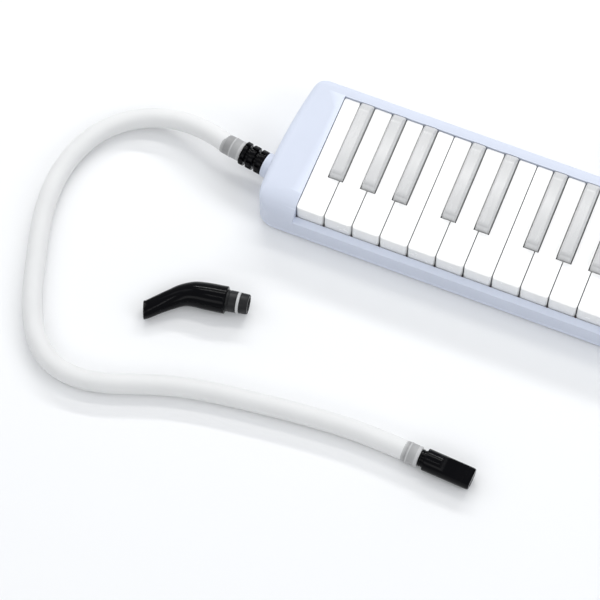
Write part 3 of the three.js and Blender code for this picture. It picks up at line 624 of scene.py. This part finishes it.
def shoulder_drop(y, inset):
    """How far the rounded front shoulder lies under the flat top at that place."""
    front = CASE_LOW.y + inset
    if y >= SHOULDER_BACK:
        return 0.0
    if y <= front:
        return CASE_TOP - SHOULDER_START
    low, high = 0.0, 1.0
    for _ in range(30):
        t = (low + high) / 2
        across = ((1 - t) ** 3 * SHOULDER_BACK + 3 * t * (1 - t) ** 2 * SHOULDER_PULL_Y
                  + 3 * t * t * (1 - t) * front + t ** 3 * front)
        if across > y:
            low = t
        else:
            high = t
    height = ((1 - t) ** 3 * CASE_TOP + 3 * t * (1 - t) ** 2 * CASE_TOP
              + 3 * t * t * (1 - t) * SHOULDER_PULL_Z + t ** 3 * SHOULDER_START)
    return CASE_TOP - height


def case_body(bm, wall, bottom, rounded=True):
    """The closed outside of the case, or its inside when wall is the shell's thickness."""
    rings = []
    for z in (bottom, *WALL_LEVELS):
        rings.append((0, z))
    for i in range(9):
        angle = i * math.pi / 16
        rings.append((EDGE_ROUND * (1 - math.cos(angle)), CASE_TOP - EDGE_ROUND * (1 - math.sin(angle))))
    rings += [(inset, CASE_TOP) for inset in TOP_INSETS]
    placed = []
    for inset, z in rings:
        points = []
        for x, y in case_plan(inset + wall):
            drop = CASE_TOP - z
            shoulder = shoulder_drop(y, wall)
            if z > bottom:
                drop = (drop ** 3 + shoulder ** 3) ** (1 / 3)
            points.append((x, y, CASE_TOP - drop - wall if z > bottom else z))
        placed.append(points)
    loft(bm, placed)


def box_object(name, low, high):
    bm = bmesh.new()
    block(bm, low, high)
    return to_object(name, bm)


FAR = 300
NECK_HOLE_R = NECK_R + 0.3
NECK_HOLE_END = -207
BUTTON_HOLE_R = 6.2
BUTTON_HOLE_START = 205


def make_upper_case():
    bm = bmesh.new()
    case_body(bm, 0, SEAM_TOP)
    shell = to_object("case_upper_shell", bm)
    room = bmesh.new()
    prism(room, case_plan(CASE_WALL), -1, LOW_ROOM_TOP)
    cheeks = bmesh.new()
    case_body(cheeks, CASE_WALL, -1)
    cheek_rooms = combine(to_object("cheek_rooms", cheeks), [box_object(
        "between", (-WELL_HALF - CASE_WALL, -FAR, -2), (WELL_HALF + CASE_WALL, FAR, FAR))])
    neck_hole = bmesh.new()
    turned(neck_hole, [(0.01, -FAR), (NECK_HOLE_R, -FAR), (NECK_HOLE_R, NECK_HOLE_END),
                       (0.01, NECK_HOLE_END)], 64, AT_NECK)
    button_hole = bmesh.new()
    turned(button_hole, [(0.01, BUTTON_HOLE_START), (BUTTON_HOLE_R, BUTTON_HOLE_START),
                         (BUTTON_HOLE_R, FAR), (0.01, FAR)], 64, AT_VALVE)
    combine(shell, [
        to_object("low_room", room), cheek_rooms,
        box_object("well", (-WELL_HALF, WELL_FRONT, -1), (WELL_HALF, WELL_BACK, FAR)),
        box_object("lip_cut", (-WELL_HALF, -FAR, LIP_TOP), (WELL_HALF, WELL_BACK - 1, FAR)),
        to_object("neck_hole", neck_hole), to_object("button_hole", button_hole),
    ])
    return finish_piece(shell, "case", [CASE_BLUE], "case_plastic", replaces=["upper_case"],
                        bevel=0.5, sharp_angle=40)


SCREWS = sorted(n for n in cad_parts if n.startswith("case_screw_"))


def upright(x, y):
    """Turns a profile about X so that it stands up at that place."""
    return Matrix.Translation((x, y, 0)) @ Matrix.Rotation(-math.pi / 2, 4, "Y")


def screw_place(name):
    low, high = box_mm(name)
    return (low.x + high.x) / 2, (low.y + high.y) / 2


def post_places():
    """X of each axle post: both ends, and every slot between white keys that has no sharp."""
    edges = [box_mm(name) for name in WHITE_KEYS]
    sharps = [box_mm(name) for name in BLACK_KEYS]
    places = [edges[0][0].x + 0.75, edges[-1][1].x - 0.75]
    for (_, high), (low, _) in zip(edges, edges[1:]):
        slot = (high.x + low.x) / 2
        if not any(sharp_low.x < slot < sharp_high.x for sharp_low, sharp_high in sharps):
            places.append(slot)
    return places


POST_HALF = 1.2
POST_FOOT_FRONT = -9
POST_FOOT_TOP = 15.3
INNER_FLOOR = CASE_WALL - 0.2
LEDGE_HALF = 180
LEDGE_TOP = 11.5
BOSS_R, BOSS_TOP = 5, 4.6
SCREW_HEAD_HOLE_R, SCREW_HEAD_DEPTH = 3.1, 2.4
SCREW_SHANK_HOLE_R, SCREW_HOLE_TOP = 1.8, 10


def case_insides():
    """What stands on the floor of the lower case: axle posts, the felt's ledge, screw bosses."""
    pivot_y, pivot_z = PIVOT
    made = [box_object("ledge", (-LEDGE_HALF, WELL_FRONT - 0.5, INNER_FLOOR),
                       (LEDGE_HALF, WELL_FRONT + 3.5, LEDGE_TOP))]
    for x in post_places():
        made.append(box_object("post_foot", (x - POST_HALF, POST_FOOT_FRONT, INNER_FLOOR),
                               (x + POST_HALF, pivot_y + 3, POST_FOOT_TOP)))
        made.append(box_object("post", (x - POST_HALF, pivot_y - 2, INNER_FLOOR),
                               (x + POST_HALF, pivot_y + 2, pivot_z - 1.5)))
    for name in SCREWS:
        boss = bmesh.new()
        profile = [(0.01, INNER_FLOOR), (BOSS_R, INNER_FLOOR), (BOSS_R, BOSS_TOP), (0.01, BOSS_TOP)]
        x, y = screw_place(name)
        turned(boss, profile, 32, upright(x, y))
        made.append(to_object("boss", boss))
    return made


def make_lower_case():
    rings = []
    for i in range(9):
        angle = i * math.pi / 16
        rings.append((EDGE_ROUND * (1 - math.sin(angle)), EDGE_ROUND * (1 - math.cos(angle))))
    rings.append((0, SEAM_BOTTOM))
    bm = bmesh.new()
    loft(bm, [[(x, y, z) for x, y in case_plan(inset)] for inset, z in rings])
    shell = to_object("case_lower_shell", bm)
    room = bmesh.new()
    prism(room, case_plan(CASE_WALL), CASE_WALL, FAR)
    combine(shell, [to_object("room", room)])
    combine(shell, case_insides(), "UNION")
    holes = []
    for name in SCREWS:
        hole = bmesh.new()
        profile = [
            (0.01, -1), (SCREW_HEAD_HOLE_R, -1), (SCREW_HEAD_HOLE_R, SCREW_HEAD_DEPTH),
            (SCREW_SHANK_HOLE_R, SCREW_HEAD_DEPTH), (SCREW_SHANK_HOLE_R, SCREW_HOLE_TOP),
            (0.01, SCREW_HOLE_TOP),
        ]
        turned(hole, profile, 40, upright(*screw_place(name)))
        holes.append(to_object("screw_hole", hole))
    combine(shell, holes)
    return finish_piece(shell, "case", [CASE_BLUE], "case_plastic", replaces=["lower_case"],
                        bevel=0.35, sharp_angle=40)


def make_screw(name):
    """Self-tapping screw: a low round head with a cross recess, and a pointed thread."""
    x, y = screw_place(name)
    profile = [(0.01, 0.55), (1.6, 0.45), (2.4, 0.6), (2.75, 0.95), (2.8, 1.4), (2.8, 2.1)]
    pitch, start, end = 0.9, 2.4, 11.6
    turns = int((end - start) / pitch)
    for i in range(turns):
        z = start + i * pitch
        profile += [(1.15, z), (1.45, z + pitch / 2)]
    profile.append((0.01, 13))
    bm = bmesh.new()
    turned(bm, profile, 32, upright(x, y))
    screw = to_object(name + "_cross_head", bm)
    arms = [box_object("recess", (x - a, y - b, 0), (x + a, y + b, 1.6)) for a, b in ((1.7, 0.3), (0.3, 1.7))]
    combine(screw, arms)
    return finish_piece(screw, "case", [STEEL], "steel", replaces=[name], sharp_angle=35)


make_upper_case()
make_lower_case()
for screw_name in SCREWS:
    make_screw(screw_name)


# ---------------------------------------------------------------- keys
NOTCH_SIDE_GAP = 0.7
NOTCH_FRONT_GAP = 1
KEY_CORNER = 2.4
KEY_BACK_CORNER = 1.2
WEB_HALF = 2.2
PAD_HALF = 4.5
PAD_BOTTOM, PAD_TOP = 18.5, 20.1


def white_outline(low, high, sharps):
    """Plan of a white key: round corners, and notches for the sharps beside it."""
    left, right, front, back = low.x, high.x, low.y, high.y
    outline = [(left, front + KEY_CORNER)]
    outline += corner((left, front + KEY_CORNER), (left, front), (left + KEY_CORNER, front), 6)
    outline += [(right - KEY_CORNER, front)]
    outline += corner((right - KEY_CORNER, front), (right, front), (right, front + KEY_CORNER), 6)
    for sharp_low, sharp_high in sharps:
        if sharp_low.x < right < sharp_high.x:
            notch = sharp_low.y - NOTCH_FRONT_GAP
            outline += [(right, notch), (sharp_low.x - NOTCH_SIDE_GAP, notch)]
            right = sharp_low.x - NOTCH_SIDE_GAP
    tail = []
    for sharp_low, sharp_high in sharps:
        if sharp_low.x < left < sharp_high.x:
            notch = sharp_low.y - NOTCH_FRONT_GAP
            tail = [(sharp_high.x + NOTCH_SIDE_GAP, notch), (left, notch)]
            left = sharp_high.x + NOTCH_SIDE_GAP
    r = KEY_BACK_CORNER
    outline += [(right, back - r), *corner((right, back - r), (right, back), (right - r, back), 4)]
    outline += [(left + r, back), *corner((left + r, back), (left, back), (left, back - r), 4)]
    return outline + tail, (left + right) / 2


def add_web(bm, x, block_z):
    """The arm under a key: a boss round the axle and the pallet with its felt pad."""
    pivot_y, pivot_z = PIVOT
    arm = [
        (pivot_y - 5, block_z + 0.5), (pivot_y - 3.4, pivot_z), (pivot_y - 2, pivot_z - 2.7),
        (pivot_y + 2, pivot_z - 2.7), (pivot_y + 3.4, pivot_z), (pivot_y + 5, block_z - 1.5),
        (PAD_Y - PAD_HALF, block_z - 1.5), (PAD_Y - PAD_HALF, PAD_TOP),
        (PAD_Y + PAD_HALF, PAD_TOP), (PAD_Y + PAD_HALF, block_z + 0.5),
    ]
    prism(bm, arm, x - WEB_HALF, x + WEB_HALF, axis="x")
    block(bm, (x - WEB_HALF, PAD_Y - PAD_HALF, PAD_BOTTOM), (x + WEB_HALF, PAD_Y + PAD_HALF, PAD_TOP),
          material=1)


BLOCK_Z = 26
APRON = 2.6
KEY_FRONT_ROUND = 2.6
KEY_EDGE_ROUND = 0.5


def front_share(y, front):
    """1 at the very front of a key, falling to 0 where its round corner ends."""
    return max(0.0, min(1.0, (front + KEY_CORNER - y) / KEY_CORNER))


def make_white_key(name, sharps):
    low, high = box_mm(name)
    outline, tail_x = white_outline(low, high, sharps)
    bm = bmesh.new()
    prism(bm, outline, low.z, high.z)
    key = to_object(name + "_cap", bm)
    combine(key, [box_object("under", (low.x - 1, low.y + APRON, low.z - 1),
                             (high.x + 1, high.y + 1, BLOCK_Z))])
    bm = bmesh.new()
    bm.from_mesh(key.data)
    bmesh.ops.scale(bm, vec=(1 / MM, 1 / MM, 1 / MM), verts=bm.verts)
    weights = bm.edges.layers.float.new("bevel_weight_edge")
    least = KEY_EDGE_ROUND / KEY_FRONT_ROUND
    for edge in bm.edges:
        a, b = (v.co for v in edge.verts)
        if len(edge.link_faces) != 2 or edge.calc_face_angle(0) < math.radians(40):
            continue
        on_top = min(a.z, b.z) > high.z - 0.01
        share = front_share(max(a.y, b.y), low.y) if on_top else 0
        edge[weights] = least + (1 - least) * share
    add_web(bm, tail_x, BLOCK_Z)
    bmesh.ops.scale(bm, vec=(MM, MM, MM), verts=bm.verts)
    bm.to_mesh(key.data)
    bm.free()
    finish_piece(key, name, [IVORY, PAD_FELT], "ivory_plastic", replaces=[name],
                 bevel=KEY_FRONT_ROUND, segments=5)
    key.modifiers["rounded_edges"].limit_method = "WEIGHT"


SHARP_BACK_DROP = 4.6
SHARP_BACK_SLOPE = 8
SHARP_BACK_CURVE = 1.58


def make_black_key(name):
    """A sharp: narrower at the top, with a steep round front and a slope down at the back."""
    low, high = box_mm(name)
    x = (low.x + high.x) / 2
    half = (high.x - low.x) / 2
    top = high.z
    white_top = FIRST_KEY_HIGH.z

    def section(y, rise):
        foot = white_top - 1
        shares = ((0.5, half - 0.05), (0.86, half - 0.8), (1, half - 1.5))
        right = [(half, BLOCK_Z), *((width, foot + (rise - foot) * share) for share, width in shares)]
        return ([Vector((x + w, y, z)) for w, z in right]
                + [Vector((x - w, y, z)) for w, z in reversed(right)])
    rings = [
        section(low.y, white_top - 0.6), section(low.y + 0.9, white_top + 2.6),
        section(low.y + 1.7, top - 1.9), section(low.y + 2.5, top - 0.9),
        section(low.y + 3.6, top - 0.2), section(low.y + 5, top),
    ]
    for i in range(9):
        share = i / 8
        y = high.y - SHARP_BACK_SLOPE * (1 - share)
        rings.append(section(y, top - SHARP_BACK_DROP * share ** SHARP_BACK_CURVE))
    bm = bmesh.new()
    loft(bm, rings)
    add_web(bm, x, BLOCK_Z)
    return piece(name + "_cap", bm, name, [SHARP_GREY, PAD_FELT], "sharp_plastic", replaces=[name],
                 bevel=0.3, segments=3, sharp_angle=26)


sharp_boxes = [box_mm(name) for name in BLACK_KEYS]
for key_name in WHITE_KEYS:
    make_white_key(key_name, sharp_boxes)
for key_name in BLACK_KEYS:
    make_black_key(key_name)


# ---------------------------------------------------------------- neck and valve button
NECK_END = -218.8
NECK_FLANGE = (-208.8, -207.2)


def make_neck():
    """Socket with a flange behind the case wall; its inner end is square to the case."""
    inner_end = box_mm("inlet_neck")[1].x
    flange_x0, flange_x1 = NECK_FLANGE
    past = inner_end + 3
    outline = [
        (NECK_R - 0.7, NECK_END), (NECK_R - 0.2, NECK_END + 0.2), (NECK_R, NECK_END + 0.8),
        (NECK_R, flange_x0), (NECK_R + 1.6, flange_x0), (NECK_R + 1.8, flange_x0 + 0.3),
        (NECK_R + 1.8, flange_x1), (NECK_R, flange_x1), (NECK_R, past),
    ]
    bm = bmesh.new()
    turned(bm, [*outline, (6, past), (6, NECK_END + 0.4), (6.4, NECK_END)], 72, AT_NECK)
    neck = combine(to_object("neck", bm), [
        box_object("beside_duct", (inner_end, -FAR, -FAR), (FAR, FAR, FAR))])
    return finish_piece(neck, "case", [CASE_BLUE], "case_plastic", replaces=["inlet_neck"], sharp_angle=40)


BUTTON_R = 5.8
BUTTON_BACK_X = 209
STEM_R = 1.6


def make_button():
    """Push button of the spit valve, with a dished face and a stem that reaches the seal."""
    low, high = box_mm("valve_button")
    face = high.x
    profile = [
        (0.01, low.x), (STEM_R, low.x), (STEM_R, BUTTON_BACK_X), (BUTTON_R, BUTTON_BACK_X),
        (BUTTON_R, face - 1.3), (BUTTON_R - 0.2, face - 0.6), (BUTTON_R - 0.7, face - 0.15),
        (BUTTON_R - 1.2, face), (BUTTON_R - 2, face - 0.15), (BUTTON_R - 3.4, face - 0.55),
        (0.01, face - 0.7),
    ]
    bm = bmesh.new()
    turned(bm, profile, 64, AT_VALVE)
    return piece("valve_push_button", bm, "spit_valve", [CASE_BLUE], "case_plastic",
                 replaces=["valve_button"], sharp_angle=40)


make_neck()
make_button()


# ---------------------------------------------------------------- loose short mouthpiece
SHORT_STATIONS = [
    ((-254.4, -139.4, 5.6), 12.3, 10.4), ((-253.2, -138.6, 5.6), 12.2, 9.8),
    ((-247, -132.3, 6.2), 12.3, 10.4), ((-240, -125.6, 6.9), 13.3, 12.2),
    ((-234.3, -120.8, 7.6), 14.8, 14), ((-227.5, -117.7, 8.3), 17, 15.9),
    ((-219, -116.1, 8.8), 18.2, 17.1), ((-206.6, -114.2, 9.2), 18.5, 17.8),
]
FACE_HEADING = math.radians(22)  # the mouth end is cut at a slant to the body
FACE_REACH = 2.6  # and the slant dies out over this many stations
PLUG_SOCKET = 12.8
PLUG_SOCKET_DEPTH = 6.3


def framed_ring(centre, along, width, height, power=2.0, sides=96):
    """A ring square to the path, level across."""
    across = along.cross(Vector((0, 0, 1))).normalized()
    over = across.cross(along)
    return [centre + across * u + over * v for u, v in superellipse(width, height, power, sides)]


def slanted(along, station):
    """The path's direction, turned towards the mouth end's face near that end."""
    share = max(0.0, 1 - (station / FACE_REACH) ** 2)
    heading = math.atan2(along.y, along.x)
    heading += (FACE_HEADING - heading) * share
    level = math.hypot(along.x, along.y)
    return Vector((math.cos(heading) * level, math.sin(heading) * level, along.z))


def make_short_mouthpiece():
    steps = 10
    line = smooth_route([p for p, _, _ in SHORT_STATIONS], steps)
    size_line = smooth_route([(w, h, 0) for _, w, h in SHORT_STATIONS], steps)
    rings = []
    for i, (centre, size) in enumerate(zip(line, size_line)):
        along = (line[min(i + 1, len(line) - 1)] - line[max(i - 1, 0)]).normalized()
        power = 2.6 - 0.6 * min(1.0, i / (len(line) * 0.6))
        rings.append(framed_ring(centre, slanted(along, i / steps), size.x, size.y, power))
    first = (line[1] - line[0]).normalized()
    face = slanted(first, 0)
    last = (line[-1] - line[-2]).normalized()
    shoulder = line[-1]
    width, height = SHORT_STATIONS[0][1:]
    end_width, end_height = SHORT_STATIONS[-1][1:]
    rings = [
        framed_ring(line[0] + first * 9, first, 8, 3.2, 4),
        framed_ring(line[0] + face * 0.2, face, 8.4, 3.6, 4),
        framed_ring(line[0] - face * 0.4, face, width - 1.4, height - 1.4, 2.6),
        framed_ring(line[0] - face * 0.25, face, width - 0.5, height - 0.5, 2.6), *rings,
        framed_ring(shoulder + last * 0.25, last, end_width - 0.5, end_height - 0.5),
        framed_ring(shoulder + last * 0.4, last, end_width - 1.4, end_height - 1.4),
        framed_ring(shoulder + last * 0.4, last, PLUG_SOCKET, PLUG_SOCKET),
        framed_ring(shoulder - last * PLUG_SOCKET_DEPTH, last, PLUG_SOCKET, PLUG_SOCKET),
    ]
    bm = bmesh.new()
    loft(bm, rings)
    piece("short_mouthpiece_shell", bm, "short_mouthpiece_set", [GLOSS_BLACK], "black_plastic",
          replaces=["short_mouthpiece"], sharp_angle=50)
    return shoulder, last


def make_plug(shoulder, along):
    turn = math.atan2(along.y, along.x)
    tilt = math.asin(along.z)
    place = (Matrix.Translation(shoulder) @ Matrix.Rotation(turn, 4, "Z")
             @ Matrix.Rotation(-tilt, 4, "Y"))
    ring_x, ring_width = 7.5, 1.9
    outline = [
        (6.1, -6), (6.1, 0.5), (7.2, 0.5), (7.2, 1.6), (6.9, 1.9), (6.9, 2.3), (7.15, 2.6),
        (7.1, ring_x - 0.3), (5.6, ring_x - 0.3), (5.6, ring_x + ring_width + 0.3),
        (6.9, ring_x + ring_width + 0.3), (6.7, 14.7), (6.4, 15.2),
    ]
    bm = bmesh.new()
    turned(bm, [*outline, (4.6, 15.2), (4.2, 14.6), (4, -6)], 72, place)
    piece("short_mouthpiece_spigot", bm, "short_mouthpiece_set", [MATT_BLACK], "matt_black",
          replaces=["short_mouthpiece_plug"], sharp_angle=40)
    ring = [(6.9, ring_x), (7.15, ring_x + 0.3), (7.2, ring_x + 0.7), (7.2, ring_x + ring_width - 0.7),
            (7.15, ring_x + ring_width - 0.3), (6.9, ring_x + ring_width)]
    bm = bmesh.new()
    turned(bm, tube_profile(ring, 5.9), 72, place)
    piece("spigot_seal_ring", bm, "short_mouthpiece_set", [RING_GREY], "white_ring",
          replaces=["plug_ring"], sharp_angle=60)


make_plug(*make_short_mouthpiece())

# ---------------------------------------------------------------- CAD nodes that stay
INNER_LOOKS = {
    "key_axle": STEEL, "spring_comb": STEEL, "valve_spring": STEEL, "key_felt": FELT,
    "air_chamber": INNER_GREY, "port_plate": INNER_GREY, "chamber_gasket": RUBBER, "valve_seal": RUBBER,
    "reed_plate_low": BRASS, "reed_plate_high": BRASS,
}
for node_name, look in INNER_LOOKS.items():
    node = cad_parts[node_name]
    node.data.materials.clear()
    node.data.materials.append(look)


# ---------------------------------------------------------------- floor and light
FLOOR_HALF = 4000


def make_floor():
    bm = bmesh.new()
    corners = [(-FLOOR_HALF, -FLOOR_HALF, 0), (FLOOR_HALF, -FLOOR_HALF, 0),
               (FLOOR_HALF, FLOOR_HALF, 0), (-FLOOR_HALF, FLOOR_HALF, 0)]
    bm.faces.new([bm.verts.new(c) for c in corners])
    floor = to_object("floor", bm)
    made, tree, shader = new_material("floor_paper")
    coordinates = add(tree, "ShaderNodeTexCoord").outputs["Object"]
    tint = mix(tree, noise(tree, coordinates, 3, 2), (0.84, 0.845, 0.85), (0.86, 0.86, 0.86))
    tree.links.new(tint, shader.inputs["Base Color"])
    shader.inputs["Roughness"].default_value = 0.9
    shader.inputs["Specular IOR Level"].default_value = 0.1
    floor.data.materials.append(made)


CENTRE = Vector((-0.1, -0.05, 0))
WHITE = (1, 1, 1)
WARM = (1, 0.99, 0.97)
COOL = (0.95, 0.97, 1)
LIGHTS = [  # name, place, width and height, watts, colour
    ("high_back_strip", (-0.29, 0.75, 1.38), (1.3, 0.12), 5, WARM),
    ("low_back_strip", (-0.35, 1.21, 0.98), (1.5, 0.08), 10, WHITE),
    ("top_strip", (-0.2, -0.46, 1.6), (1.0, 0.05), 1.5, WHITE),
    ("front_softbox", (-0.3, -1.35, 1.0), (1.4, 0.5), 4, WHITE),
    ("left_softbox", (-1.35, -0.1, 1.1), (0.9, 0.9), 3, COOL),
    ("right_softbox", (1.2, -0.1, 1.1), (0.9, 0.9), 6, COOL),
]
SKY_COLOUR = (0.94, 0.965, 1.0, 1)
SKY_STRENGTH = 0.55


def area_light(name, place, size, power, colour):
    """A rectangular lamp that looks at the middle of the set."""
    data = bpy.data.lights.new(name, "AREA")
    data.shape = "RECTANGLE"
    data.size, data.size_y = size
    data.energy = power
    data.color = colour
    lamp = bpy.data.objects.new(name, data)
    lamp.location = place
    lamp.rotation_mode = "QUATERNION"
    lamp.rotation_quaternion = (Vector(place) - CENTRE).to_track_quat("Z", "Y")
    bpy.context.scene.collection.objects.link(lamp)


make_floor()
for light in LIGHTS:
    area_light(*light)
world = bpy.data.worlds.new("studio")
world.use_nodes = True
world.node_tree.nodes["Background"].inputs["Color"].default_value = SKY_COLOUR
world.node_tree.nodes["Background"].inputs["Strength"].default_value = SKY_STRENGTH
bpy.context.scene.world = world
bpy.context.scene.view_settings.view_transform = "Standard"
